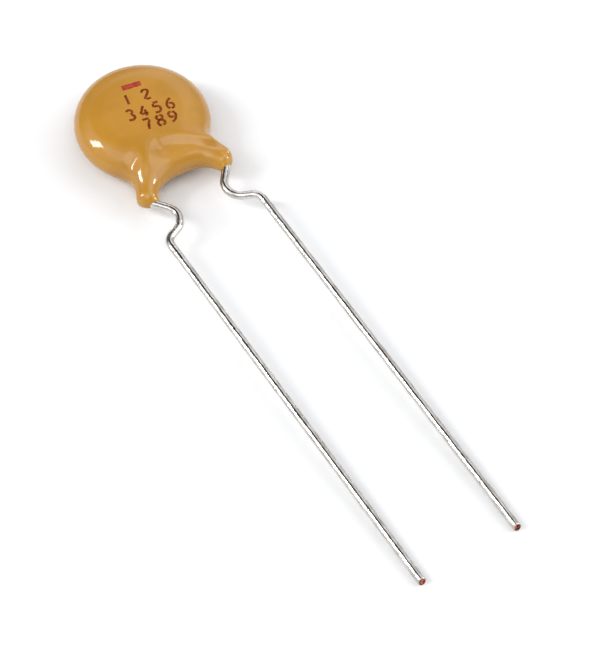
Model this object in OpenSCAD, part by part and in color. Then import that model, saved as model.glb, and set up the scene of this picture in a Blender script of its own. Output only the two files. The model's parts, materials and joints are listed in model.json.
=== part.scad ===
// Radial ceramic disc capacitor: a silvered ceramic disc between two leads,
// dipped in a glossy epoxy coat that runs down the leads as two short legs.
// Lengths are millimetres. The part lies as it comes to rest on a table at z = 0,
// marked face up, with its leads along -Y and its outline centred on X = 0.

/* [Ceramic] */
// Diameter of the ceramic disc
ceramic_d = 8.4; // [7.4:0.1:8.7]
// Thickness of the ceramic disc
ceramic_t = 0.9; // [0.6:0.05:1]
// Bare ceramic left round each silver electrode
silver_margin = 0.5; // [0.3:0.1:1]
// Thickness of each fired silver electrode
silver_t = 0.05; // [0.02:0.01:0.1]

/* [Leads] */
// Diameter of the tinned wire
wire_d = 0.6; // [0.5:0.05:0.7]
// Spacing of the straight lead ends, for the holes in the board
lead_pitch = 7.5; // [7:0.1:8]
// Distance from the disc centre to the cut lead ends
lead_reach = 41.2; // [20:0.2:60]
// Distance between the outer bends, inside the tips of the coated legs
outer_bend_gap = 6.5; // [6.1:0.1:7]
// Distance from the disc centre down to the outer bends
outer_bend_drop = 6.1; // [5.9:0.1:6.6]
// Distance between the inner bends, below the coat
inner_bend_gap = 2.6; // [2.2:0.1:3.2]
// Distance from the disc centre down to the inner bends
inner_bend_drop = 8.55; // [8.4:0.05:9]
// Distance from the disc centre down to the bends that start the straight ends
seat_drop = 9.6; // [9.4:0.05:10.5]
// Radius of the bends inside the coat, at the middle of the wire
coated_bend_r = 0.7; // [0.6:0.05:0.8]
// Radius of the inner bends
inner_bend_r = 1.2; // [0.8:0.1:1.3]
// Radius of the bends that start the straight ends
seat_bend_r = 0.8; // [0.6:0.1:1]
// Distance from the disc centre to the inner end of each lead
lead_inner_end = 0.8; // [0.5:0.1:2]

/* [Solder] */
// Radius of the solder bead over each wire
bead_r = 0.52; // [0.45:0.01:0.55]
// Radius of the solder bead at its two ends
bead_end_r = 0.38; // [0.36:0.01:0.42]
// Length of each solder bead along its wire
bead_len = 3; // [2:0.1:3.2]
// Film of solder between each wire and its electrode
solder_film = 0.03; // [0.02:0.01:0.06]

/* [Coat] */
// Diameter of the coated body
coat_d = 9.8; // [9.6:0.1:10.4]
// Thickness of the coated body
coat_t = 3.2; // [3.1:0.1:4]
// Width of the rounding from each flat face to the rim
rim_round = 2; // [1.6:0.1:2.4]
// Coat over the wire at the end of each leg
leg_cover = 0.5; // [0.4:0.05:0.6]
// Distance from the middle of each leg's round tip on to the outer bend
bend_past_tip = 0.3; // [0.2:0.05:0.35]
// Distance from the disc centre down to the middle of the web
web_drop = 5.1; // [4.95:0.05:5.3]
// Thickness of the web between the legs
web_t = 2.2; // [1.8:0.1:2.4]
// Direction in which the outer flank of each leg leaves the round body, from straight down
flank_angle = 74; // [66:1:80]
// Distance from the disc centre down to where the flat faces start to slope towards the web
slope_start = 2.4; // [2:0.1:2.6]
// How much further down the slope starts, for each millimetre away from the face's own wire
slope_skew = 0.3; // [0:0.05:0.4]
// How fast the start of the slope bends down on both sides
slope_curve = 0.11; // [0:0.01:0.14]
// Distance over which the face slopes
slope_width = 1.3; // [1:0.1:1.5]
// Half width of the ridge that the coat makes over each wire
ridge_w = 0.9; // [0.8:0.1:1.3]
// Distance from the disc centre, along the leg, to where that ridge starts to come down
ridge_start = 3.3; // [3:0.1:3.6]

/* [Hidden] */

FRONT = 1;
BACK = -1;
wire_r = wire_d / 2;
coat_r = coat_d / 2;
belly = coat_t / 2;
leg_r = wire_r + leg_cover;
web_r = web_t / 2;
silver_d = ceramic_d - 2 * silver_margin;
// Height of the wire's middle where it lies on its electrode
wire_z = ceramic_t / 2 + silver_t + solder_film + wire_r;
// Direction of the legs in plan, from straight down
leg_angle = atan(outer_bend_gap / 2 / outer_bend_drop);
leg_dir = [sin(leg_angle), -cos(leg_angle)];
leg_side = [cos(leg_angle), sin(leg_angle)];
leg_bend = norm([outer_bend_gap / 2, outer_bend_drop]);
leg_end = leg_bend - bend_past_tip;
lead_bends = [coated_bend_r, coated_bend_r, inner_bend_r, seat_bend_r];
// Clear of the ceramic's edge, where the wire may start to slant
wire_clear = ceramic_d / 2 + wire_r;

// ---- Wire that bends in space ----

// A bend comes out this much thicker than the wire, and the straight ends run this far into it
bend_swell = 0.004;
bend_seat = 0.03;

function unit(v) = v / norm(v);
function turn(a, b, c) = acos(unit(b - a) * unit(c - b));
// Length that a bend takes off the corner at b
function trim(a, b, c, r) = r * tan(turn(a, b, c) / 2);

module aim(from, along) {
    translate(from)
        rotate([0, acos(along.z), atan2(along.y, along.x)])
            children();
}

module straight_wire(a, b) {
    aim(a, unit(b - a))
        cylinder(d = wire_d, h = norm(b - a), $fn = 32);
}

module bent_wire(a, b, c, r) {
    t = unit(b - a);
    side = unit(c - b);
    n = unit(side - t * (side * t));
    o = b - t * trim(a, b, c, r) + n * r;
    z = cross(-n, t);
    multmatrix([
        [-n.x, t.x, z.x, o.x],
        [-n.y, t.y, z.y, o.y],
        [-n.z, t.z, z.z, o.z]
    ])
        rotate_extrude(angle = turn(a, b, c), $fn = 96)
            translate([r, 0])
                circle(r = wire_r + bend_swell, $fn = 32);
}

// Round wire along straight stretches, with a bend of its own radius at each inner point
module wire(points, bends) {
    last = len(points) - 1;
    // What the bend at each point takes off the stretches beside it
    cuts = [for (i = [0:last])
        i == 0 || i == last
            ? 0
            : trim(points[i - 1], points[i], points[i + 1], bends[i - 1]) - bend_seat];
    for (i = [0:last - 1]) {
        along = unit(points[i + 1] - points[i]);
        straight_wire(points[i] + along * cuts[i], points[i + 1] - along * cuts[i + 1]);
    }
    for (i = [1:last - 1])
        bent_wire(points[i - 1], points[i], points[i + 1], bends[i - 1]);
}

// A point on the leg's axis, this far from the disc centre
function on_leg(distance, z) = [leg_dir.x * distance, leg_dir.y * distance, z];

// The lead on the marked side goes down the left leg, the other down the right leg
function lead_points(face) = [for (p = [
    on_leg(lead_inner_end, wire_z),
    on_leg(wire_clear, wire_z),
    on_leg(leg_bend, 0),
    [inner_bend_gap / 2, -inner_bend_drop, 0],
    [lead_pitch / 2, -seat_drop, 0],
    [lead_pitch / 2, -lead_reach, 0]
]) [-face * p.x, p.y, face * p.z]];

// ---- Coat ----
// Each half of each face is a sheet of lines. They run from feet on the leg's axis, or on the
// disc centre above it, out to the outline. Between the legs they end on the middle plane.

ARC_STEPS = 12;
BODY_STEPS = 12;
LEG_STEPS = 12;
TIP_STEPS = 12;
RING_STEPS = 12;

function bezier(p, u) =
    p[0] * pow(1 - u, 3) + p[1] * 3 * u * pow(1 - u, 2)
    + p[2] * 3 * u * u * (1 - u) + p[3] * pow(u, 3);
// Rises from 0 to 1 with level ends
function ease(u) = let (v = min(max(u, 0), 1)) v * v * v * (v * (6 * v - 15) + 10);
function on_rim(angle) = coat_r * [sin(angle), -cos(angle)];

leg_tip = leg_dir * leg_end;
// How far the outline runs on straight, about, at the ends of its outer flank and of the web
leg_bow = 1.45;
web_bow = 0.6;
flank_foot = coat_r * cos(flank_angle - leg_angle);
web_foot = web_drop * cos(leg_angle);
outer_flank = [
    on_rim(flank_angle),
    on_rim(flank_angle) - leg_bow * [cos(flank_angle), sin(flank_angle)],
    leg_tip + leg_side * leg_r - leg_dir * leg_bow,
    leg_tip + leg_side * leg_r
];
inner_flank = [
    [0, -web_drop],
    [leg_bow, -web_drop],
    leg_tip - leg_side * leg_r - leg_dir * web_bow,
    leg_tip - leg_side * leg_r
];

feet = concat(
    [for (i = [0:BODY_STEPS]) web_foot * sin(90 * i / BODY_STEPS)],
    [for (i = [1:LEG_STEPS]) web_foot + (leg_end - web_foot) * i / LEG_STEPS]
);
// Ends of the lines on the outer side of a leg's axis and on its inner side
function outer_end(foot) = foot < flank_foot
    ? on_rim(leg_angle + acos(foot / coat_r))
    : bezier(outer_flank, (foot - flank_foot) / (leg_end - flank_foot));
function inner_end(foot) = foot < web_foot
    ? [0, -web_drop * foot / web_foot]
    : bezier(inner_flank, (foot - web_foot) / (leg_end - web_foot));
function tip_end(angle) = leg_tip + leg_r * (leg_side * cos(angle) + leg_dir * sin(angle));

// Lines of the right half from the top round to the middle of the web, as [foot, end]
half_lines = concat(
    [for (i = [0:ARC_STEPS - 1])
        [[0, 0], on_rim(180 - (90 - leg_angle) * i / ARC_STEPS)]],
    [for (foot = feet) [leg_dir * foot, outer_end(foot)]],
    [for (i = [1:TIP_STEPS - 1]) [leg_dir * feet[len(feet) - 1], tip_end(180 * i / TIP_STEPS)]],
    [for (i = [len(feet) - 1:-1:0]) [leg_dir * feet[i], inner_end(feet[i])]]
);

// The outline in two stretches, which meet at the tip of the leg
TIP_LINE = ARC_STEPS + len(feet) + TIP_STEPS / 2 - 1;
WEB_LINE = TIP_LINE + TIP_STEPS / 2 + LEG_STEPS;
outer_curve = [for (i = [0:TIP_LINE]) half_lines[i][1]];
inner_curve = [for (i = [TIP_LINE:WEB_LINE]) half_lines[i][1]];
function to_segment(p, a, b) =
    let (t = min(max((p - a) * (b - a) / ((b - a) * (b - a)), 0), 1))
    norm(p - a - t * (b - a));
function to_curve(p, curve) =
    min([for (i = [0:len(curve) - 2]) to_segment(p, curve[i], curve[i + 1])]);

// The rounding of the outer side narrows between these feet, to the leg's own radius
narrow_start = flank_foot - 0.4;
narrow_end = leg_end - 1;
// The web thins to the leg's radius between its own foot and this one
thin_end = leg_end - 0.3;
function outer_round(foot) =
    leg_r + (rim_round - leg_r) * ease((narrow_end - foot) / (narrow_end - narrow_start));
function thinned(foot) =
    leg_r + (web_r - leg_r) * ease((thin_end - foot) / (thin_end - web_foot));
// How far into the rounding of the rim a point lies: 0 at the outline, 1 past the rounding
function inset(p) = min(
    1,
    to_curve(p, outer_curve) / outer_round(p * leg_dir),
    to_curve(p, inner_curve) / thinned(p * leg_dir)
);

// The ridge comes down to the leg's radius this far past the outer bend,
// and fades out over this distance from the middle plane between the legs
ridge_run_out = 0.5;
ridge_fade = 1;
ridge_end = leg_end + ridge_run_out;
// Height of the coat before its rim is rounded. Each face slopes down to the web along a
// bent line, apart from the ridge over its wire, which is on the left leg of the marked side.
function face_height(p, face) =
    let (
        foot = abs(p.x) * leg_dir.x + p.y * leg_dir.y,
        across = abs(p.x) * leg_side.x + p.y * leg_side.y,
        beside = p.x * face,
        slope_end = slope_start + slope_skew * beside + slope_curve * beside * beside
            + slope_width,
        low = thinned(foot),
        base = low + (belly - low) * ease((slope_end + p.y) / slope_width),
        ridge = leg_r + (belly - leg_r) * ease((ridge_end - foot) / (ridge_end - ridge_start)),
        on_ridge = ease(-p.x * face / ridge_fade) * exp(-pow(across / ridge_w, 2))
    )
    base + max(ridge - base, 0) * on_ridge;

// Points of the right half in plan, as [x, y, how far into the rounding]
half_plan = [for (line = half_lines, k = [0:RING_STEPS])
    let (p = line[0] + (line[1] - line[0]) * sin(90 * k / RING_STEPS))
    [p.x, p.y, inset(p)]];
SHEETS = [[1, FRONT], [-1, FRONT], [1, BACK], [-1, BACK]];
// Closer to the outline than this, both faces meet on the middle plane
ON_RIM = 1e-6;
coat_points = [for (sheet = SHEETS, p = half_plan)
    let (x = sheet[0] * p.x, face = sheet[1], rounding = sqrt(1 - pow(1 - p.z, 2)))
    [x, p.y, p.z < ON_RIM ? 0 : face * face_height([x, p.y], face) * rounding]];
function distinct(f) =
    coat_points[f[0]] != coat_points[f[1]]
    && coat_points[f[1]] != coat_points[f[2]]
    && coat_points[f[2]] != coat_points[f[0]];
coat_faces = [
    for (s = [0:len(SHEETS) - 1], i = [0:len(half_lines) - 2], k = [0:RING_STEPS - 1])
        let (
            a = s * len(half_plan) + i * (RING_STEPS + 1) + k,
            b = a + RING_STEPS + 1,
            outward = SHEETS[s][0] * SHEETS[s][1] > 0
        )
        for (f = [[a, a + 1, b], [b, a + 1, b + 1]])
            if (distinct(f)) outward ? f : [f[0], f[2], f[1]]
];

// ---- Rest on the table: both lead ends and the back of the body touch it ----

rest_pitch = max([for (p = coat_points) atan2(-p.z - wire_r, lead_reach + p.y)]);
tip_drop = lead_reach * sin(rest_pitch) + wire_r * cos(rest_pitch);
length_front = max([for (p = coat_points) p.y * cos(rest_pitch) - p.z * sin(rest_pitch)]);
length_back = lead_reach * cos(rest_pitch) + wire_r * sin(rest_pitch);

module lying() {
    translate([0, (length_back - length_front) / 2, tip_drop])
        rotate([rest_pitch, 0, 0])
            children();
}

// ---- Pieces, drawn about the disc centre ----

BEAD_STEPS = 8;

module disc_shape() {
    cylinder(d = ceramic_d, h = ceramic_t, center = true, $fn = 96);
}

module electrode_shape(face) {
    translate([0, 0, face * (ceramic_t + silver_t) / 2])
        cylinder(d = silver_d, h = silver_t, center = true, $fn = 96);
}

module lead_shape(face) {
    wire(lead_points(face), lead_bends);
}

// A barrel round the wire, cut off flat where it wets the electrode
module bead_shape(face) {
    points = lead_points(face);
    along = unit(points[1] - points[0]);
    base = ceramic_t / 2 + silver_t;
    barrel = [for (i = [0:BEAD_STEPS])
        let (u = i / BEAD_STEPS)
        [bead_end_r + (bead_r - bead_end_r) * sin(180 * u), bead_len * u]];
    intersection() {
        aim(points[0] - along * bead_end_r, along)
            rotate_extrude($fn = 64)
                polygon(concat([[0, 0]], barrel, [[0, bead_len]]));
        translate([0, 0, face * (base + bead_r + wire_r)])
            cube([ceramic_d, ceramic_d, 2 * (bead_r + wire_r)], center = true);
    }
}

module coating() {
    color("goldenrod")
        lying()
            difference() {
                polyhedron(points = coat_points, faces = coat_faces, convexity = 4);
                disc_shape();
                for (face = [FRONT, BACK]) {
                    electrode_shape(face);
                    bead_shape(face);
                    lead_shape(face);
                }
            }
}

module ceramic_disc() {
    color("peru")
        lying()
            disc_shape();
}

module electrode(face) {
    color("silver")
        lying()
            electrode_shape(face);
}

module solder(face) {
    color("lightgray")
        lying()
            difference() {
                bead_shape(face);
                lead_shape(face);
            }
}

module lead(face) {
    color("gainsboro")
        lying()
            lead_shape(face);
}

coating();
ceramic_disc();
electrode(FRONT);  // front_electrode
electrode(BACK);  // back_electrode
solder(FRONT);  // front_solder
solder(BACK);  // back_solder
lead(FRONT);  // front_lead
lead(BACK);  // back_lead
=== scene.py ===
# %% [markdown]
# # A dipped ceramic disc capacitor
# This lesson dresses a small electronic part: a silvered ceramic disc between two tinned
# wires, dipped in glossy ochre epoxy. The CAD model gives the place of every piece and the
# main sizes. Blender adds what the eye looks for: the soft flow of the epoxy, the printed
# digits, the bright tin with its bare copper ends, and soft studio light.

# %% Load the packed model
import json
import math

import bmesh
import bpy
from mathutils import Matrix, Vector, noise


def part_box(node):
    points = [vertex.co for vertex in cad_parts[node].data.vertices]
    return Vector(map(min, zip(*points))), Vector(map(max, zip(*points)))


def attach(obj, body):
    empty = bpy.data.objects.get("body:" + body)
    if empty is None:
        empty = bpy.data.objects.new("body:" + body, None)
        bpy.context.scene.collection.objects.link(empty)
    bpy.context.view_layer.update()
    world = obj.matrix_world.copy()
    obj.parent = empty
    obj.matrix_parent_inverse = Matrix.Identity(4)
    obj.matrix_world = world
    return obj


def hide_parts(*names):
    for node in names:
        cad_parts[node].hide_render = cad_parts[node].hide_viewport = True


MM = 0.001
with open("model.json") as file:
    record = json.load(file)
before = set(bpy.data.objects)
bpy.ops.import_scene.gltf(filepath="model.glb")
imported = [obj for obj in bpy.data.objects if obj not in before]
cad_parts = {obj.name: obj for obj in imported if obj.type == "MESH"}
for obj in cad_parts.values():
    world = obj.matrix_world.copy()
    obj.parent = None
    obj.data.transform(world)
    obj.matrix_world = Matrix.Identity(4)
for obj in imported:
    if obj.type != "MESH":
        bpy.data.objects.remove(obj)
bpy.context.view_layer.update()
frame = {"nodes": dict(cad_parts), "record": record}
print("CAD nodes:", sorted(frame["nodes"]))

# %% [markdown]
# ## The camera
# The part is only 46 mm long, so a long lens stands 200 mm away and looks down at it from
# the front left. A long lens keeps the two wires nearly parallel, as they are. The clipping
# start is moved in, because Blender's usual 100 mm would be half of that distance.

# %% Place the camera
LOOK_AT = Vector((0.64, -1.555, 0.0)) * MM
CAMERA_AZIMUTH = math.radians(-32.77)
CAMERA_HEIGHT = math.radians(55.38)
CAMERA_DISTANCE = 200 * MM
PIXELS_PER_MM = 14.61
IMAGE_WIDTH = 600
SENSOR_WIDTH = 36
CLIP_START = 10 * MM


def direction(azimuth, height):
    """The direction to a place round the part, from its azimuth and height in radians."""
    return Vector((
        math.sin(azimuth) * math.cos(height),
        -math.cos(azimuth) * math.cos(height),
        math.sin(height),
    ))


lens = bpy.data.cameras.new("view_camera")
lens.sensor_fit = "HORIZONTAL"
lens.sensor_width = SENSOR_WIDTH
lens.lens = PIXELS_PER_MM * CAMERA_DISTANCE / MM * SENSOR_WIDTH / IMAGE_WIDTH
lens.clip_start = CLIP_START
camera = bpy.data.objects.new("view_camera", lens)
bpy.context.scene.collection.objects.link(camera)
towards_camera = direction(CAMERA_AZIMUTH, CAMERA_HEIGHT)
camera.location = LOOK_AT + towards_camera * CAMERA_DISTANCE
camera.rotation_euler = towards_camera.to_track_quat("Z", "Y").to_euler()
bpy.context.scene.camera = camera
print("Focal length, mm:", round(lens.lens, 1))

# %% [markdown]
# ## Where the part lies
# It is easier to draw the part flat, about the middle of its ceramic disc and in
# millimetres, than tilted on the table in metres. So the pieces are drawn flat, and laid
# down last as the CAD model lies: the coat and both wire ends touch the table, which tilts
# the part by about two degrees. The disc's own box gives its middle.

# %% Lay the pieces down
lead_axis = Vector(frame["record"]["mounts"][0]["axis"])
rest_tilt = math.atan2(-lead_axis.z, -lead_axis.y)
disc_low, disc_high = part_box("ceramic_disc")
disc_middle = (disc_low + disc_high) / 2
lying = (
    Matrix.Translation(disc_middle)
    @ Matrix.Rotation(rest_tilt, 4, "X")
    @ Matrix.Scale(MM, 4)
)
print("Disc middle, mm:", [round(c / MM, 3) for c in disc_middle])
print("Tilt, degrees:", round(math.degrees(rest_tilt), 2))


def as_piece(name, shape, replaced=None):
    """Lays a shape down as a finished piece that rides on the part."""
    bmesh.ops.transform(shape, matrix=lying, verts=shape.verts)
    for face in shape.faces:
        face.smooth = True
    mesh = bpy.data.meshes.new(name)
    shape.to_mesh(mesh)
    shape.free()
    piece = bpy.data.objects.new(name, mesh)
    bpy.context.scene.collection.objects.link(piece)
    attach(piece, "root")
    if replaced:
        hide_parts(replaced)
    print(name, "has", len(mesh.polygons), "faces")
    return piece


# %% [markdown]
# ## The outline of the coat
# Epoxy that drips off a dipped disc runs down the wires as two short legs, with a web
# between them. A sculpted blob could look right from one side only, so the outline is
# drawn from a few sizes, as in the CAD model. In plan the body is a circle, and each leg
# lies along its wire, from the disc's middle towards the wire's outer bend. The leg ends in
# a half circle, whose middle is just short of that bend.

# %% Measure the coat
COAT_R = 4.88
WIRE_R = 0.3
LEG_R = WIRE_R + 0.5
BEND_PAST_TIP = 0.42
outer_bend = Vector((3.25, -6.1))
leg_dir = outer_bend.normalized()
leg_side = Vector((-leg_dir.y, leg_dir.x))
leg_angle = math.atan2(leg_dir.x, -leg_dir.y)
leg_end = outer_bend.length - BEND_PAST_TIP
leg_tip = leg_dir * leg_end
print("Each leg leans out by", round(math.degrees(leg_angle), 1), "degrees")
print("It is", round(2 * LEG_R, 2), "mm wide at its round end")
print("The middle of that end is", round(leg_end, 2), "mm from the disc's middle")

# %% [markdown]
# ## The flanks of a leg
# The outer flank of each leg leaves the round body along its tangent and hollows in to the
# leg. On the other side one curve goes from the leg to the middle of the web. Arcs could be
# fitted together here, but their joints would show as breaks in the highlights. Each flank
# is a Bezier curve, which needs only four points.

# %% Draw the flanks
FLANK_ANGLE = math.radians(66)
WEB_DROP = 5.1
LEG_BOW = 1.45
TIP_BOW = 2.1
WEB_BOW = 0.6


def on_rim(angle):
    """A point on the round of the coat, at an angle from straight down."""
    return COAT_R * Vector((math.sin(angle), -math.cos(angle)))


def along_curve(points, u):
    """A point on the Bezier curve of four points, from the first (0) to the last (1)."""
    a, b, c, d = points
    return a * (1 - u) ** 3 + b * 3 * u * (1 - u) ** 2 + c * 3 * u * u * (1 - u) + d * u ** 3


flank_reach = COAT_R * math.cos(FLANK_ANGLE - leg_angle)
web_reach = WEB_DROP * math.cos(leg_angle)
flank_tangent = Vector((math.cos(FLANK_ANGLE), math.sin(FLANK_ANGLE)))
outer_flank = [
    on_rim(FLANK_ANGLE),
    on_rim(FLANK_ANGLE) - LEG_BOW * flank_tangent,
    leg_tip + leg_side * LEG_R - leg_dir * TIP_BOW,
    leg_tip + leg_side * LEG_R,
]
inner_flank = [
    Vector((0, -WEB_DROP)),
    Vector((LEG_BOW, -WEB_DROP)),
    leg_tip - leg_side * LEG_R - leg_dir * WEB_BOW,
    leg_tip - leg_side * LEG_R,
]
print("The outer flank starts", round(flank_reach, 2), "mm along the leg")
print("The web starts", round(web_reach, 2), "mm along the leg")

# %% [markdown]
# ## Lines across the coat
# A grid follows a shape best when its lines run the way the shape flows. A square grid
# would leave steps along the outline. Here each line runs from the wire's axis out to the
# outline: round the top from the disc's middle, down both sides of the leg, and round the
# leg's tip. The same lines make both halves.

# %% List the lines of one half
ROUND_TOP = 20
ON_BODY = 20
ON_LEG = 22
ROUND_TIP = 20
RINGS = 22


def outer_point(reach):
    """The outline on the outer side of the leg. reach is the distance along the leg."""
    if reach < flank_reach:
        return on_rim(leg_angle + math.acos(reach / COAT_R))
    return along_curve(outer_flank, (reach - flank_reach) / (leg_end - flank_reach))


def inner_point(reach):
    """The outline on the web's side of the leg, or the part's middle above the web."""
    if reach < web_reach:
        return Vector((0, -WEB_DROP * reach / web_reach))
    return along_curve(inner_flank, (reach - web_reach) / (leg_end - web_reach))


def tip_point(angle):
    """A point on the round end of the leg, from its outer side to the web's side."""
    return leg_tip + LEG_R * (leg_side * math.cos(angle) + leg_dir * math.sin(angle))


reaches = [web_reach * math.sin(math.pi / 2 * i / ON_BODY) for i in range(ON_BODY + 1)]
reaches += [web_reach + (leg_end - web_reach) * i / ON_LEG for i in range(1, ON_LEG + 1)]
top_turn = math.pi / 2 - leg_angle
lines = [(Vector((0, 0)), on_rim(math.pi - top_turn * i / ROUND_TOP)) for i in range(ROUND_TOP)]
lines += [(leg_dir * reach, outer_point(reach)) for reach in reaches]
lines += [(leg_tip, tip_point(math.pi * i / ROUND_TIP)) for i in range(1, ROUND_TIP)]
lines += [(leg_dir * reach, inner_point(reach)) for reach in reversed(reaches)]
tip_line = ROUND_TOP + len(reaches) + ROUND_TIP // 2 - 1
web_line = tip_line + ROUND_TIP // 2 + ON_LEG
print("Each half has", len(lines), "lines of", RINGS, "faces")

# %% [markdown]
# ## The rim of the coat
# Wet epoxy pulls itself round at every edge. A bevel along the outline would have the same
# width everywhere, but the real rim is broad round the body and narrow along the legs. So
# the rim is a quarter ellipse whose width depends on the place along the leg.

# %% Work out the rim
RIM_ROUND = 2.0
WEB_R = 1.1
ON_OUTLINE = 1e-6
outer_curve = [line[1] for line in lines[:tip_line + 1]]
inner_curve = [line[1] for line in lines[tip_line:web_line + 1]]
# Distances along the leg at which the rim starts and ends to narrow, and the web to thin.
narrow_start = flank_reach - 0.4
narrow_end = leg_end - 1
thin_end = leg_end - 0.3


def ease(u):
    """Rises from 0 to 1 as u does, with level ends, and holds beyond them."""
    v = min(max(u, 0.0), 1.0)
    return v * v * v * (v * (6 * v - 15) + 10)


def to_curve(point, curve):
    """The distance from a point to the nearest stretch of a curve."""
    best = math.inf
    for a, b in zip(curve, curve[1:]):
        step = b - a
        share = min(max((point - a).dot(step) / step.length_squared, 0.0), 1.0)
        best = min(best, (point - a - step * share).length)
    return best


def web_height(reach):
    """Half the thickness of the web, which thins to the leg's radius at the tip."""
    return LEG_R + (WEB_R - LEG_R) * ease((thin_end - reach) / (thin_end - web_reach))


def rim_height(point):
    """From 0 on the outline to 1 past the rounding of the rim."""
    reach = point.dot(leg_dir)
    narrowed = ease((narrow_end - reach) / (narrow_end - narrow_start))
    outer_round = LEG_R + (RIM_ROUND - LEG_R) * narrowed
    inset = min(1.0, to_curve(point, outer_curve) / outer_round,
                to_curve(point, inner_curve) / web_height(reach))
    return 0.0 if inset < ON_OUTLINE else math.sqrt(1 - (1 - inset) ** 2)


for inset in (0.5, 1, 2):
    print("Rim", inset, "mm in:", round(rim_height(Vector((COAT_R - inset, 0))), 2))

# %% [markdown]
# ## The faces of the coat
# Both faces of the body are flat, because the disc inside is. Below the disc they slope
# down to a thin web between the legs, and surface tension leaves a ridge of epoxy over each
# wire: over the left leg on the marked face, and over the right leg on the back. Sections
# lofted along the body could give this too, but they would meet the outline at odd angles.
# One function of the place on the plan gives all of it, and every line can use it.

# %% Work out the height of a face
BELLY = 1.59
SLOPE_START = 2.4
SLOPE_SKEW = 0.3
SLOPE_CURVE = 0.11
SLOPE_WIDTH = 1.3
RIDGE_W = 0.9
# Distances along the leg at which the ridge starts and ends to sink.
ridge_start = 3.3
ridge_end = leg_end + 0.5


def face_height(x, y, ridge_side):
    """The coat's height before its rim is rounded. ridge_side is the ridge's side in x."""
    reach = abs(x) * leg_dir.x + y * leg_dir.y
    across = abs(x) * leg_side.x + y * leg_side.y
    beside = -x * ridge_side
    slope_start = SLOPE_START + SLOPE_SKEW * beside + SLOPE_CURVE * beside * beside
    low = web_height(reach)
    base = low + (BELLY - low) * ease((slope_start + SLOPE_WIDTH + y) / SLOPE_WIDTH)
    ridge = LEG_R + (BELLY - LEG_R) * ease((ridge_end - reach) / (ridge_end - ridge_start))
    on_ridge = ease(x * ridge_side) * math.exp(-((across / RIDGE_W) ** 2))
    return base + max(ridge - base, 0) * on_ridge


MARKED_SIDE = -1
for y in (0, -3, -4, -5):
    print("Half thickness", -y, "mm below the middle:", round(face_height(0, y, MARKED_SIDE), 2))

# %% [markdown]
# ## The coat
# A real coat is one closed skin. It could be blended from a disc and two tubes, but a blend
# leaves no say over the flat faces and the edge of the web. So one grid is bent into each
# half of the marked face. The back is the same face turned half round about the long axis,
# and its ridge comes out on the other leg. Welding the four sheets closes the skin.

# %% Shape the coat
WELD = 0.0005


def open_edges(shape):
    """How many edges don't lie between exactly two faces: none on a closed shape."""
    return sum(not edge.is_manifold for edge in shape.edges)


coat_shape = bmesh.new()
for side in (1, -1):
    made = bmesh.ops.create_grid(
        coat_shape, x_segments=len(lines) - 1, y_segments=RINGS, size=1)
    for vert in made["verts"]:
        start, end = lines[round((vert.co.x + 1) / 2 * (len(lines) - 1))]
        ring = (vert.co.y + 1) / 2
        plan = start + (end - start) * math.sin(math.pi / 2 * ring)
        height = rim_height(plan) * face_height(side * plan.x, plan.y, MARKED_SIDE)
        vert.co = (side * plan.x, plan.y, height)
back = bmesh.ops.duplicate(
    coat_shape, geom=coat_shape.faces[:] + coat_shape.edges[:] + coat_shape.verts[:])["geom"]
bmesh.ops.transform(
    coat_shape, matrix=Matrix.Rotation(math.pi, 4, "Y"),
    verts=[g for g in back if isinstance(g, bmesh.types.BMVert)])
bmesh.ops.remove_doubles(coat_shape, verts=coat_shape.verts, dist=WELD)
bmesh.ops.dissolve_degenerate(coat_shape, edges=coat_shape.edges, dist=WELD)
bmesh.ops.recalc_face_normals(coat_shape, faces=coat_shape.faces)
print("Open edges in the coat:", open_edges(coat_shape))

# %% [markdown]
# ## What the epoxy did while it set
# Wet epoxy creeps along clean metal, so the coat draws out into a small collar where each
# wire leaves it. It also sags a little, more on the legs than over the disc. A perfect skin
# gives perfect reflections, which look like plastic toys, so both are worth shaping. The
# sag goes inwards, so the coat stays inside its CAD size.

# %% Draw out the collars and let the skin sag
COLLAR_R = WIRE_R + 0.3
COLLAR_REACH = 0.16
FACE_SAG = 0.008
LEG_SAG = 0.022
LEG_SAG_START = 2
LEG_SAG_SPAN = 2.5
WAVE_SIZE = 2.1
RIPPLE_SIZE = 0.8
RIPPLE_SHARE = 0.15
inner_bend = Vector((1.3, -8.55))
wire_way = Vector((*(inner_bend - outer_bend).normalized(), 0))
for vert in coat_shape.verts:
    side = 1 if vert.co.x > 0 else -1
    from_bend = Vector((abs(vert.co.x), vert.co.y, vert.co.z)) - outer_bend.to_3d()
    along = from_bend.dot(wire_way)
    off_wire = (from_bend - wire_way * along).length
    creep = ease(along / LEG_R) * ease((COLLAR_R - off_wire) / (COLLAR_R - WIRE_R))
    vert.co += Vector((side * wire_way.x, wire_way.y, 0)) * COLLAR_REACH * creep
coat_shape.normal_update()
for vert in coat_shape.verts:
    wave = 0.5 + 0.5 * noise.noise(vert.co / WAVE_SIZE)
    sag = wave + RIPPLE_SHARE * noise.noise(vert.co / RIPPLE_SIZE)
    depth = FACE_SAG + LEG_SAG * ease((-vert.co.y - LEG_SAG_START) / LEG_SAG_SPAN)
    vert.co -= vert.normal * depth * sag
coat = as_piece("dipped_coat", coat_shape, "coating")

# %% [markdown]
# ## The route of a lead
# A lead starts flat on its electrode, on its own face of the disc. It comes to the middle
# plane inside the leg, and leaves through the leg's tip. Two more bends make the kink that
# stops the body above a board, and the rest is straight. The corners are all that a forming
# machine needs to know, besides the radius of each bend. The back lead is the front one
# turned half round, so one list of corners serves both.

# %% List the corners of a lead
WIRE_Z = 0.83
SEAT_START = 0.8
SEAT_END = 4.5
seat_bend = Vector((3.75, -9.6))
wire_end = Vector((3.75, -41.2))
MARKED_FACE, BACK_FACE = 1, -1


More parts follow.
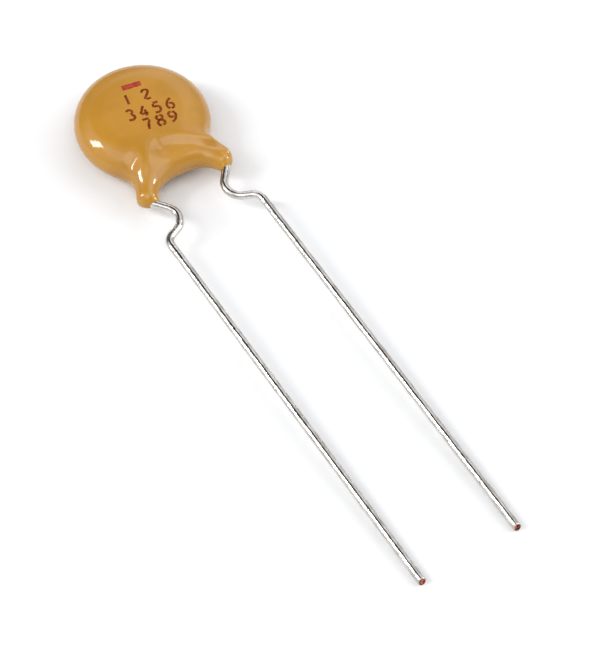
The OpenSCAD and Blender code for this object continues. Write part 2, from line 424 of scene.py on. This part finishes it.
def wire_route(face):
    """The corners of a wire, on the marked face or on the back."""
    corners = [(*(leg_dir * SEAT_START), WIRE_Z), (*(leg_dir * SEAT_END), WIRE_Z)]
    corners += [(*corner, 0) for corner in (outer_bend, inner_bend, seat_bend, wire_end)]
    return [Vector((-face * x, y, face * z)) for x, y, z in corners]


print("Corners of a lead:", len(wire_route(MARKED_FACE)))
print("Straight end:", round((wire_end - seat_bend).length, 2), "mm")

# %% [markdown]
# ## Drawing a wire
# A curve with a round profile would be quick, but a Bezier bend isn't a true arc. So the
# wire is made as the machine makes it: a ring is drawn out straight in short steps, turned
# round the middle of each bend, and drawn on.

# %% Draw a wire
WIRE_SIDES = 28
BEND_RADII = [0.7, 0.7, 1.2, 0.8]
BEND_STEPS = 14
DRAW_STEP = 0.3


def draw_on(shape, ring, step):
    """Draws the ring of edges out by one step and gives the new ring."""
    made = bmesh.ops.extrude_edge_only(shape, edges=ring)["geom"]
    bmesh.ops.translate(
        shape, vec=step, verts=[g for g in made if isinstance(g, bmesh.types.BMVert)])
    return [g for g in made if isinstance(g, bmesh.types.BMEdge)]


def draw_wire(corners):
    """Draws a wire through its corners, and gives it with the ring at its end."""
    shape = bmesh.new()
    bmesh.ops.create_circle(shape, cap_ends=True, radius=WIRE_R, segments=WIRE_SIDES)
    aim = (corners[1] - corners[0]).to_track_quat("Z", "Y").to_matrix().to_4x4()
    bmesh.ops.transform(
        shape, matrix=Matrix.Translation(corners[0]) @ aim, verts=shape.verts)
    ring = shape.edges[:]
    here = corners[0]
    for a, b, c, bend_r in zip(corners, corners[1:], corners[2:] + [None], BEND_RADII + [0]):
        along = (b - a).normalized()
        turn = along.angle(c - b) if c else 0
        bend_start = b - along * bend_r * math.tan(turn / 2)
        steps = max(1, round((bend_start - here).length / DRAW_STEP))
        for _ in range(steps):
            ring = draw_on(shape, ring, (bend_start - here) / steps)
        if c:
            axle = along.cross(c - b).normalized()
            made = bmesh.ops.spin(
                shape, geom=ring, cent=bend_start + axle.cross(along) * bend_r,
                axis=axle, angle=turn, steps=BEND_STEPS)["geom_last"]
            ring = [g for g in made if isinstance(g, bmesh.types.BMEdge)]
            here = b + (c - b).normalized() * bend_r * math.tan(turn / 2)
    return shape, ring


print("Bend radii:", BEND_RADII, "mm, in", BEND_STEPS, "steps each")

# %% [markdown]
# ## Cut ends
# The cutter leaves a rounded edge of tin round a bare copper face. The face slants, as the
# blade pinched the wire off, and is a little hollow where it tore through. A flat cap would
# do for a hidden end, but these two show. The last ring is slanted, and one fill closes the
# wire. A bevel rounds its edge, one inset leaves the ring of tin, and a second inset sinks
# the copper. The edge of the copper stays crisp, so that the two metals meet in a clear line.

# %% Cut off a wire
CUT_SLANT = 0.36
CUT_ROUND = 0.03
TIN_RING = 0.02
COPPER_SLOPE = 0.07
COPPER_HOLLOW = 0.03
# The wire's finishes are a list, with the tin at 0 and the copper after it.
COPPER = 1


def cut_off(shape, ring):
    """Closes the wire with a slanted, hollow copper face inside a rounded edge of tin."""
    for vert in {end for edge in ring for end in edge.verts}:
        vert.co.y += CUT_SLANT * (vert.co.z + WIRE_R)
    bmesh.ops.edgeloop_fill(shape, edges=ring)
    bmesh.ops.recalc_face_normals(shape, faces=shape.faces)
    bmesh.ops.bevel(
        shape, geom=ring, offset=CUT_ROUND, offset_type="OFFSET", affect="EDGES",
        segments=3, profile=0.5, material=-1)
    cut = max(shape.faces, key=lambda face: (len(face.verts), -face.calc_center_median().y))
    bmesh.ops.inset_individual(shape, faces=[cut], thickness=TIN_RING, depth=0)
    for edge in cut.edges:
        edge.smooth = False
    bmesh.ops.inset_individual(
        shape, faces=[cut], thickness=COPPER_SLOPE, depth=-COPPER_HOLLOW)
    for face in [cut] + [f for edge in cut.edges for f in edge.link_faces]:
        face.material_index = COPPER


print("Slant of the cut, degrees:", round(math.degrees(math.atan(CUT_SLANT)), 1))

# %% [markdown]
# ## Marks of the forming tool
# Wire from a reel is never quite straight, and the dies that form the two inner bends press
# it a little flat. A bump in the finish could fake that, but the outline would stay too
# true. Moving the points of the finished wire by a hundredth of a millimetre is enough to
# make the long highlight waver as it does on a real lead.

# %% Form both leads
WANDER = 0.012
WANDER_LENGTH = 1.7
HELD_LENGTH = 3
DIE_FLAT = 0.08
DIE_REACH = 1.1
dies = [inner_bend, seat_bend]


def handle_wire(shape, seed):
    """Presses the inner bends flat and lets the wire wander, except near its held ends."""
    for vert in shape.verts:
        place = Vector((abs(vert.co.x), vert.co.y))
        pressed = max(ease(1 - (place - die).length / DIE_REACH) for die in dies)
        vert.co.z *= 1 - DIE_FLAT * pressed
        past_coat = ease((outer_bend.y - vert.co.y) / HELD_LENGTH)
        before_cut = ease((vert.co.y - wire_end.y) / HELD_LENGTH)
        free = past_coat * before_cut
        way = vert.co.y / WANDER_LENGTH
        sideways = noise.noise(Vector((seed, way, 0)))
        upwards = noise.noise(Vector((0, way, seed)))
        vert.co += Vector((sideways, 0, upwards)) * WANDER * free


leads = []
for name, face, seed in (("front", MARKED_FACE, 3.7), ("back", BACK_FACE, -3.7)):
    wire, end_ring = draw_wire(wire_route(face))
    cut_off(wire, end_ring)
    handle_wire(wire, seed)
    print("Open edges in the", name, "lead:", open_edges(wire))
    leads.append(as_piece(name + "_tinned_lead", wire, name + "_lead"))

# %% [markdown]
# ## The printed digits
# The mark on the face is printed with a small rubber stamp, in dark red ink. Here it is
# plain digits with a bar above them. A text object would be too clean: a stamp has open
# strokes with ragged edges. So each digit is a few strokes, as a pen would draw it, in a
# box that is one high. A short stroke needs only the points that it passes through.

# %% List the strokes of the digits
STROKES = {
    "1": [[(0.3, 1), (0.3, 0.5), (0.3, 0)]],
    "2": [[(0.04, 0.76), (0.1, 0.94), (0.3, 1), (0.52, 0.92), (0.54, 0.7), (0.34, 0.4),
           (0.06, 0.06)],
          [(0.2, 0), (0.4, 0), (0.6, 0)]],
    "3": [[(0.06, 0.94), (0.3, 1), (0.5, 0.88), (0.5, 0.68), (0.34, 0.56)],
          [(0.4, 0.48), (0.56, 0.34), (0.55, 0.14), (0.34, 0), (0.06, 0.06)]],
    "4": [[(0.4, 1), (0.2, 0.64), (0, 0.32)], [(0.06, 0.26), (0.36, 0.26), (0.62, 0.26)],
          [(0.44, 0.62), (0.44, 0.3), (0.44, 0)]],
    "5": [[(0.56, 1), (0.34, 1), (0.14, 1)], [(0.12, 0.9), (0.1, 0.72), (0.08, 0.58)],
          [(0.16, 0.58), (0.36, 0.62), (0.55, 0.46), (0.55, 0.2), (0.36, 0.01),
           (0.06, 0.05)]],
    "6": [[(0.5, 0.98), (0.24, 0.82), (0.06, 0.5), (0.06, 0.22), (0.2, 0.02)],
          [(0.3, 0), (0.5, 0.06), (0.57, 0.28), (0.46, 0.5), (0.24, 0.5)]],
    "7": [[(0.04, 1), (0.3, 1), (0.54, 1)], [(0.54, 0.86), (0.36, 0.46), (0.26, 0)]],
    "8": [[(0.24, 1), (0.08, 0.88), (0.1, 0.66), (0.24, 0.54), (0.05, 0.36), (0.07, 0.12),
           (0.24, 0)],
          [(0.37, 1), (0.53, 0.88), (0.51, 0.66), (0.37, 0.54), (0.56, 0.36), (0.54, 0.12),
           (0.37, 0)]],
    "9": [[(0.1, 0.02), (0.36, 0.18), (0.54, 0.5), (0.54, 0.78), (0.4, 0.98)],
          [(0.3, 1), (0.1, 0.94), (0.03, 0.72), (0.14, 0.5), (0.36, 0.5)]],
}
# Digits, start of the row, height of a digit, and step from digit to digit.
ROWS = [
    ("12", (-0.78, 0.92), 0.84, 1.4),
    ("3456", (-1.3, -0.4), 0.9, 0.98),
    ("789", (-0.66, -1.72), 0.92, 0.94),
]
print("Rows:", ", ".join(row[0] for row in ROWS))

# %% [markdown]
# ## Strokes of ink
# A stroke could be a bevelled curve, but its edges would be perfect. So a short edge, the
# nib, is pulled along the stroke and leaves a ribbon behind it. It stays square to the way
# it goes, and its width wavers a little, as the rubber spreads the ink.

# %% Pull a nib along a stroke
RAGGED = 0.16
RAGGED_PER_MM = 5


def smooth_path(points, steps=6):
    """A curve through the points, each stretch drawn in a few short steps."""
    ends = [points[0], *points, points[-1]]
    path = [points[0]]
    for a, b, c, d in zip(ends, ends[1:], ends[2:], ends[3:]):
        for i in range(1, steps + 1):
            u = i / steps
            path.append(b + (c - a) * u / 2 + (2 * a - 5 * b + 4 * c - d) * u * u / 2
                        + (3 * b - a - 3 * c + d) * u ** 3 / 2)
    return path


def ink_stroke(shape, path, width):
    """Pulls the nib along a path, square to it and with a ragged width."""
    nib = None
    for i, here in enumerate(path):
        along = (path[min(i + 1, len(path) - 1)] - path[max(i - 1, 0)]).normalized()
        ragged = 1 + RAGGED * noise.noise(here.to_3d() * RAGGED_PER_MM)
        half = Vector((-along.y, along.x)) * width / 2 * ragged
        corners = [(*(here + half), 0), (*(here - half), 0)]
        if nib is None:
            nib = shape.edges.new([shape.verts.new(corner) for corner in corners])
            continue
        made = bmesh.ops.extrude_edge_only(shape, edges=[nib])["geom"]
        nib = next(g for g in made if isinstance(g, bmesh.types.BMEdge))
        for vert, corner in zip(nib.verts, corners):
            vert.co = corner


print("The width of a stroke wavers by up to", round(100 * RAGGED), "%")

# %% [markdown]
# ## The film of ink
# Dried ink is a film with an edge of its own. It could be a mask in the epoxy's finish, but
# then it would have no thickness and no edge in the mesh. So all the strokes are laid on
# the face, turned a little as stamps are, and given a thickness.

# %% Print the digits on the face
INK_W = 0.18
INK_LIFT = 0.004
INK_DEPTH = 0.02
BAR_W = 0.42
BAR_HALF = 0.7
BAR_STEPS = 14
BAR_MIDDLE = Vector((0.44, 2.2))
ROW_TURN = Matrix.Rotation(math.radians(-11), 2)
# The print's finishes are a list, with the thin ink at 0 and the full one after it.
FULL_INK = 1
stamp = bmesh.new()
for digits, start, height, advance in ROWS:
    for column, digit in enumerate(digits):
        for stroke in STROKES[digit]:
            points = [Vector((x * height + column * advance, y * height)) for x, y in stroke]
            points = [ROW_TURN @ point + Vector(start) for point in points]
            ink_stroke(stamp, smooth_path(points), INK_W)
digit_faces = len(stamp.faces)
bar = [BAR_HALF * (2 * i / BAR_STEPS - 1) for i in range(BAR_STEPS + 1)]
ink_stroke(stamp, [ROW_TURN @ Vector((x, 0)) + BAR_MIDDLE for x in bar], BAR_W)
stamp.faces.ensure_lookup_table()
for face in stamp.faces[digit_faces:]:
    face.material_index = FULL_INK
for vert in stamp.verts:
    on_face = face_height(vert.co.x, vert.co.y, MARKED_SIDE)
    vert.co.z = on_face * rim_height(Vector((abs(vert.co.x), vert.co.y))) + INK_LIFT
bmesh.ops.recalc_face_normals(stamp, faces=stamp.faces)
bmesh.ops.reverse_faces(stamp, faces=[f for f in stamp.faces if f.normal.z < 0])
bmesh.ops.solidify(stamp, geom=stamp.faces[:], thickness=INK_DEPTH)
print("Open edges in the ink:", open_edges(stamp))
ink = as_piece("printed_digits", stamp)

# %% [markdown]
# ## Sums of sockets
# A material is a recipe of nodes, and most of its steps are plain sums. Each sum could be a
# Math node that is made and linked by hand, but that hides the idea. So an output socket is
# wrapped, and `1 - worn * 2` then adds the Math nodes by itself.


# %% Wrap a socket
class Flow:
    """A socket's number or colour on its way through the recipe."""

    def __init__(self, recipe, socket):
        self.recipe = recipe
        self.socket = socket

    def sum(self, operation, first, second):
        return self.recipe.make(
            "ShaderNodeMath", {"operation": operation}, {0: first, 1: second})

    def __add__(self, other):
        return self.sum("ADD", self, other)

    def __sub__(self, other):
        return self.sum("SUBTRACT", self, other)

    def __rsub__(self, other):
        return self.sum("SUBTRACT", other, self)

    def __mul__(self, other):
        return self.sum("MULTIPLY", self, other)

    __radd__ = __add__
    __rmul__ = __mul__


print("A wrapped socket can be added, taken away and multiplied, from either side.")

# %% [markdown]
# ## A recipe of nodes
# Every other node comes from one method, which sets the node up first and then fills its
# sockets with values or with links. The few nodes that these finishes share, such as the
# place on the piece, a soft noise and a blend of two colours, get short names of their own.


# %% Make the nodes of a recipe
class Recipe:
    """The nodes of one material, or of the world, from the first texture to the shader."""

    def __init__(self, owner):
        owner.use_nodes = True
        self.owner = owner
        self.tree = owner.node_tree
        self.tree.nodes.clear()

    def make(self, kind, settings=None, sockets=None, out=None):
        """Makes a node and gives its first output, or the one named out."""
        node = self.tree.nodes.new(kind)
        for name, value in (settings or {}).items():
            setattr(node, name, value)
        for name, value in (sockets or {}).items():
            socket = node.inputs[name] if isinstance(name, int) else next(
                s for s in node.inputs if s.name == name and s.enabled)
            if isinstance(value, Flow):
                self.tree.links.new(value.socket, socket)
            else:
                socket.default_value = value
        outputs = [s for s in node.outputs if s.enabled and out in (None, s.name)]
        return Flow(self, outputs[0]) if outputs else None

    def position(self, stretch=(1, 1, 1)):
        """The place on the piece in millimetres, stretched along its axes."""
        place = self.make("ShaderNodeTexCoord", out="Object")
        return self.make("ShaderNodeMapping", {}, {
            "Vector": place, "Scale": [s / MM for s in stretch]})

    def cloud(self, place, per_mm, detail=2.0):
        """Soft noise from 0 to 1, with this many features per millimetre."""
        return self.make("ShaderNodeTexNoise", {}, {
            "Vector": place, "Scale": per_mm, "Detail": detail})

    def between(self, low, high, value, to_low=0.0, to_high=1.0):
        """Maps low..high to to_low..to_high smoothly, and holds it beyond them."""
        return self.make("ShaderNodeMapRange", {"interpolation_type": "SMOOTHSTEP"}, {
            "Value": value, "From Min": low, "From Max": high,
            "To Min": to_low, "To Max": to_high})

    def blend(self, share, first, second):
        """Goes from the first colour to the second as share goes from 0 to 1."""
        return self.make("ShaderNodeMix", {"data_type": "RGBA"}, {
            "Factor": share, "A": first, "B": second})

    def bump(self, height, depth_mm):
        """Bends the surface by a height from 0 to 1 that is this deep."""
        return self.make("ShaderNodeBump", {}, {"Height": height, "Distance": depth_mm * MM})

    def finish(self, sockets):
        """Ends the recipe in one shader, and gives the material."""
        shader = self.make("ShaderNodeBsdfPrincipled", {}, sockets)
        self.make("ShaderNodeOutputMaterial", {}, {"Surface": shader})
        return self.owner


def material(name):
    """An empty recipe for a new material."""
    return Recipe(bpy.data.materials.new(name))


print("Ways to make a node:", [way for way in vars(Recipe) if not way.startswith("_")])

# %% [markdown]
# ## Colours as light
# Blender adds colours up as light, but a colour is picked as the screen shows it, on a
# scale that is stretched in the dark tones. The numbers could be turned by hand, but then
# nobody could read them. So each colour is written as the screen shows it and turned here.


# %% Turn a colour into light
def colour(red, green, blue):
    """A colour as the screen shows it, 0 to 255, turned into the light that Blender sums."""
    def light(part):
        """The usual curve of a screen: straight in the darkest tones, then a power."""
        part /= 255
        return part / 12.92 if part <= 0.04045 else ((part + 0.055) / 1.055) ** 2.4
    return (light(red), light(green), light(blue), 1)


print("Ochre as light:", [round(c, 3) for c in colour(160, 115, 38)])

# %% [markdown]
# ## Ochre epoxy
# Dipping epoxy is an opaque, filled resin that sets glossy. A clear coat over a matt base
# would suit a varnished part, but this resin has one colour all through, so one shader with
# a low roughness and the index of plastic is enough. Three things keep it from looking like
# paint. Its colour drifts softly, and is lighter at the tips of the legs, partly because it
# is thin over bright wire there and partly as painted light, as if the tips were lit more.
# Faint smears change the gloss a little. And a fine bump gives the skin its orange peel.

# %% Mix the epoxy
# Distances below the disc's middle between which the epoxy gets thin and is painted lighter,
# partly as painted light on the tips of the legs.
THIN_AND_LIT_START = 5
THIN_AND_LIT_END = 7
epoxy = material("ochre_epoxy")
place = epoxy.position()
middle_y = disc_middle.y / MM
down = epoxy.make("ShaderNodeSeparateXYZ", {}, {"Vector": place}, out="Y")
drift = epoxy.between(0.35, 0.65, epoxy.cloud(place, 0.35, detail=3))
thick = epoxy.blend(drift, colour(167, 119, 41), colour(174, 125, 45))
# The lighter colour of the leg tips: thin epoxy over bright wire, and painted light as if the
# tips were lit more.
thin_and_lit = epoxy.blend(drift, colour(177, 128, 39), colour(185, 136, 47))
# Share of the lighter tip colour, rising towards the tips of the legs; partly painted light.
thin_and_lit_share = epoxy.between(middle_y - THIN_AND_LIT_START, middle_y - THIN_AND_LIT_END, down)
smears = epoxy.cloud(place, 0.9, detail=4)
peel = epoxy.cloud(place, 0.6) + epoxy.cloud(place, 5) * 0.03
coat.data.materials.append(epoxy.finish({
    "Base Color": epoxy.blend(thin_and_lit_share, thick, thin_and_lit),
    "Roughness": epoxy.between(0.45, 0.7, smears, to_low=0.1, to_high=0.13),
    "IOR": 1.5,
    "Normal": epoxy.bump(peel, depth_mm=0.02),
}))
print("Epoxy nodes:", len(epoxy.tree.nodes))

# %% [markdown]
# ## Tinned wire and bare copper
# The wire is copper under a few microns of tin. Plain chrome would show clean stripes, like
# a drawn bar. Hot tin sets in long, shallow waves, so the clouds of its bump, its grey tone
# and its roughness are all drawn out along the wire. These waves break up the bright and
# dark lines on a lead. The cut face is copper with dark, torn patches.

# %% Plate the wires
tin = material("bright_tin")
place = tin.position((1, 0.6, 1))
waves = tin.cloud(place, 2.2, detail=3) + tin.cloud(place, 6, detail=2) * 0.25
dull = tin.between(0.4, 0.65, tin.cloud(place, 1.7, detail=3))
frost = tin.cloud(place, 1.6, detail=5)
tin_plate = tin.finish({
    "Base Color": tin.blend(dull, colour(214, 210, 205), colour(186, 181, 174)),
    "Metallic": 1.0,
    "Roughness": tin.between(0.38, 0.66, frost, to_low=0.05, to_high=0.2),
    "Normal": tin.bump(waves, depth_mm=0.042),
})
copper = material("cut_copper")
place = copper.position()
clean = copper.between(0.4, 0.6, copper.cloud(place, 5, detail=3))
tears = copper.cloud(place, 7, detail=3)
bare_copper = copper.finish({
    "Base Color": copper.blend(clean, colour(58, 26, 24), colour(186, 106, 88)),
    "Metallic": 1.0,
    "Roughness": 0.3,
    "Normal": copper.bump(tears, depth_mm=0.02),
})
for lead in leads:
    lead.data.materials.append(tin_plate)
    lead.data.materials.append(bare_copper)
    print(lead.name, "has", len(lead.data.materials), "finishes")

# %% [markdown]
# ## Stamp ink
# Stamp ink is matt beside the epoxy, and uneven, because the stamp presses harder in some
# places. One flat red would look like a decal. The thin strokes dry dark and brownish, and
# the bar holds a fuller, redder coat of the same ink, so the two get their own shades. Ink
# has almost no shine of its own, so its specular level is low.

# %% Ink the digits
for name, dark, light in (
        ("stamp_ink_thin", colour(98, 36, 6), colour(130, 58, 18)),
        ("stamp_ink_full", colour(146, 50, 38), colour(166, 66, 52))):
    film = material(name)
    place = film.position()
    pressure = film.between(0.35, 0.65, film.cloud(place, 4, detail=3))
    grain = film.cloud(place, 9)
    ink.data.materials.append(film.finish({
        "Base Color": film.blend(pressure, dark, light),
        "Roughness": 0.6,
        "Specular IOR Level": 0.1,
        "Normal": film.bump(grain, depth_mm=0.004),
    }))
print("Inks:", [m.name for m in ink.data.materials])

# %% [markdown]
# ## The pieces inside
# The coat hides the ceramic disc, its two fired silver electrodes and the solder that
# joins them to the wires. They stay as the CAD model has them, because their shapes are
# right, and get finishes of their own, so a cut through the part looks right too: a matt
# speckled ceramic, a grainy silver and a dull, mottled solder.

# %% Finish the inner pieces
INNER = [
    # Name, speckles per mm, dark and light colour, metallic, roughness, pieces.
    ("fired_ceramic", 6, colour(188, 150, 112), colour(206, 172, 136), 0.0, 0.7,
     ["ceramic_disc"]),
    ("fired_silver", 8, colour(196, 194, 190), colour(222, 220, 216), 1.0, 0.45,
     ["front_electrode", "back_electrode"]),
    ("dull_solder", 5, colour(150, 151, 152), colour(186, 186, 184), 1.0, 0.35,
     ["front_solder", "back_solder"]),
]
for name, speckle, dark, light, metallic, roughness, pieces in INNER:
    inner = material(name)
    grain = inner.cloud(inner.position(), speckle, detail=4)
    finish = inner.finish({
        "Base Color": inner.blend(grain, dark, light),
        "Metallic": metallic,
        "Roughness": roughness,
        "Normal": inner.bump(grain, depth_mm=0.01),
    })
    for piece in pieces:
        slots = frame["nodes"][piece].data.materials
        slots.clear()
        slots.append(finish)
    print(name, "on", ", ".join(pieces))

# %% [markdown]
# ## The table
# A plain card lies under the part. It is light grey rather than white, because the light is
# strong enough to bring it up to white, and only the soft shadow round the part then shows
# as grey.

# %% Lay the card
CARD_HALF = 3
CARD_GREY = (0.775, 0.775, 0.767, 1)
card_shape = bmesh.new()
bmesh.ops.create_grid(card_shape, x_segments=1, y_segments=1, size=CARD_HALF)
card_mesh = bpy.data.meshes.new("card")
card_shape.to_mesh(card_mesh)
card_shape.free()
card = bpy.data.objects.new("card", card_mesh)
bpy.context.scene.collection.objects.link(card)
paper = material("white_card")
fibres = paper.cloud(paper.position(), 3, detail=3)
card_mesh.materials.append(paper.finish({
    "Base Color": CARD_GREY,
    "Roughness": 0.9,
    "Normal": paper.bump(fibres, depth_mm=0.003),
}))
print("Card:", [round(side, 1) for side in card.dimensions], "m")

# %% [markdown]
# ## Two lamps
# Gloss shows its lamps. A tall, narrow softbox on the left draws the bright highlight on the
# rim of the coat, and a small lamp low on the right adds sparks on the legs. How bright a
# square lamp looks in a reflection is its power divided by pi and by its area, so the power
# is worked out from the brightness that the highlight needs.

# %% Set up the lamps
LAMP_DISTANCE = 0.8
# Name, azimuth and height in degrees, width and depth in metres, and brightness.
LAMPS = [
    ("key_strip", -118, 36, 0.13, 0.38, 21),
    ("right_spark", 66, 22, 0.09, 0.16, 26),
]


def softbox(name, azimuth, height, width, depth, brightness):
    """A square light of this brightness that faces the part from that side."""
    lamp = bpy.data.lights.new(name, "AREA")
    lamp.shape = "RECTANGLE"
    lamp.size, lamp.size_y = width, depth
    lamp.energy = brightness * math.pi * width * depth
    light = bpy.data.objects.new(name, lamp)
    bpy.context.scene.collection.objects.link(light)
    away = direction(math.radians(azimuth), math.radians(height))
    light.location = away * LAMP_DISTANCE
    light.rotation_euler = away.to_track_quat("Z", "Y").to_euler()
    print(name, "gives", round(lamp.energy, 3), "W")


for lamp_values in LAMPS:
    softbox(*lamp_values)

# %% [markdown]
# ## A light tent
# Small glossy things are lit in a tent of white cloth, so that they reflect soft, bright
# walls. A wall that is bright everywhere would take all shape out of the metal: the wires
# need one dark gap in the tent, for the line along their crest. The tent could be built
# from sheets, but their edges would show in the gloss. So it is the world: an even glow,
# with soft round patches that are brighter where a lamp stands behind the cloth, and darker
# where the tent is open.

# %% Glow and shade of the tent
EVEN_GLOW = 0.61
CLOTH_WHITE = (0.98, 0.99, 1.02, 1)
# Name, azimuth, height, the angles at which a patch ends and is full, and its strength.
GLOWS = [
    ("left wall", -111, 40, 40, 18, 0.5),
    ("front left roof", -89, 54, 20, 11, 0.7),
    ("front roof", -26, 60, 27, 13, 2.0),
    ("right wall", 74, 47, 27, 10, 1.7),
    ("low right wall", 51, 21, 24, 10, 1.4),
    ("far right wall", 148, 34, 37, 10, 0.6),
]
SHADES = [
    ("open back", -172, 6, 45, 28, 0.68),
    ("gap in the roof", -178, 58, 25, 13, 0.94),
    ("open front", 3, 30, 22, 16, 0.7),
]
world = bpy.data.worlds.new("light_tent")
bpy.context.scene.world = world
tent = Recipe(world)
sky = tent.make("ShaderNodeTexCoord", out="Generated")


def patch(azimuth, height, edge, core):
    """1 round a direction, out to core degrees, and 0 beyond edge degrees."""
    aim = direction(math.radians(azimuth), math.radians(height))
    near = tent.make(
        "ShaderNodeVectorMath", {"operation": "DOT_PRODUCT"}, {0: sky, 1: aim}, out="Value")
    return tent.between(math.cos(math.radians(edge)), math.cos(math.radians(core)), near)


walls = EVEN_GLOW
for name, azimuth, height, edge, core, strength in GLOWS:
    walls = walls + patch(azimuth, height, edge, core) * strength
for name, azimuth, height, edge, core, strength in SHADES:
    walls = walls * (1 - patch(azimuth, height, edge, core) * strength)
cloth = tent.make("ShaderNodeBackground", {}, {
    "Color": CLOTH_WHITE, "Strength": walls})
tent.make("ShaderNodeOutputWorld", {}, {"Surface": cloth})
bpy.context.scene.view_settings.view_transform = "Standard"
print("Tent nodes:", len(tent.tree.nodes))
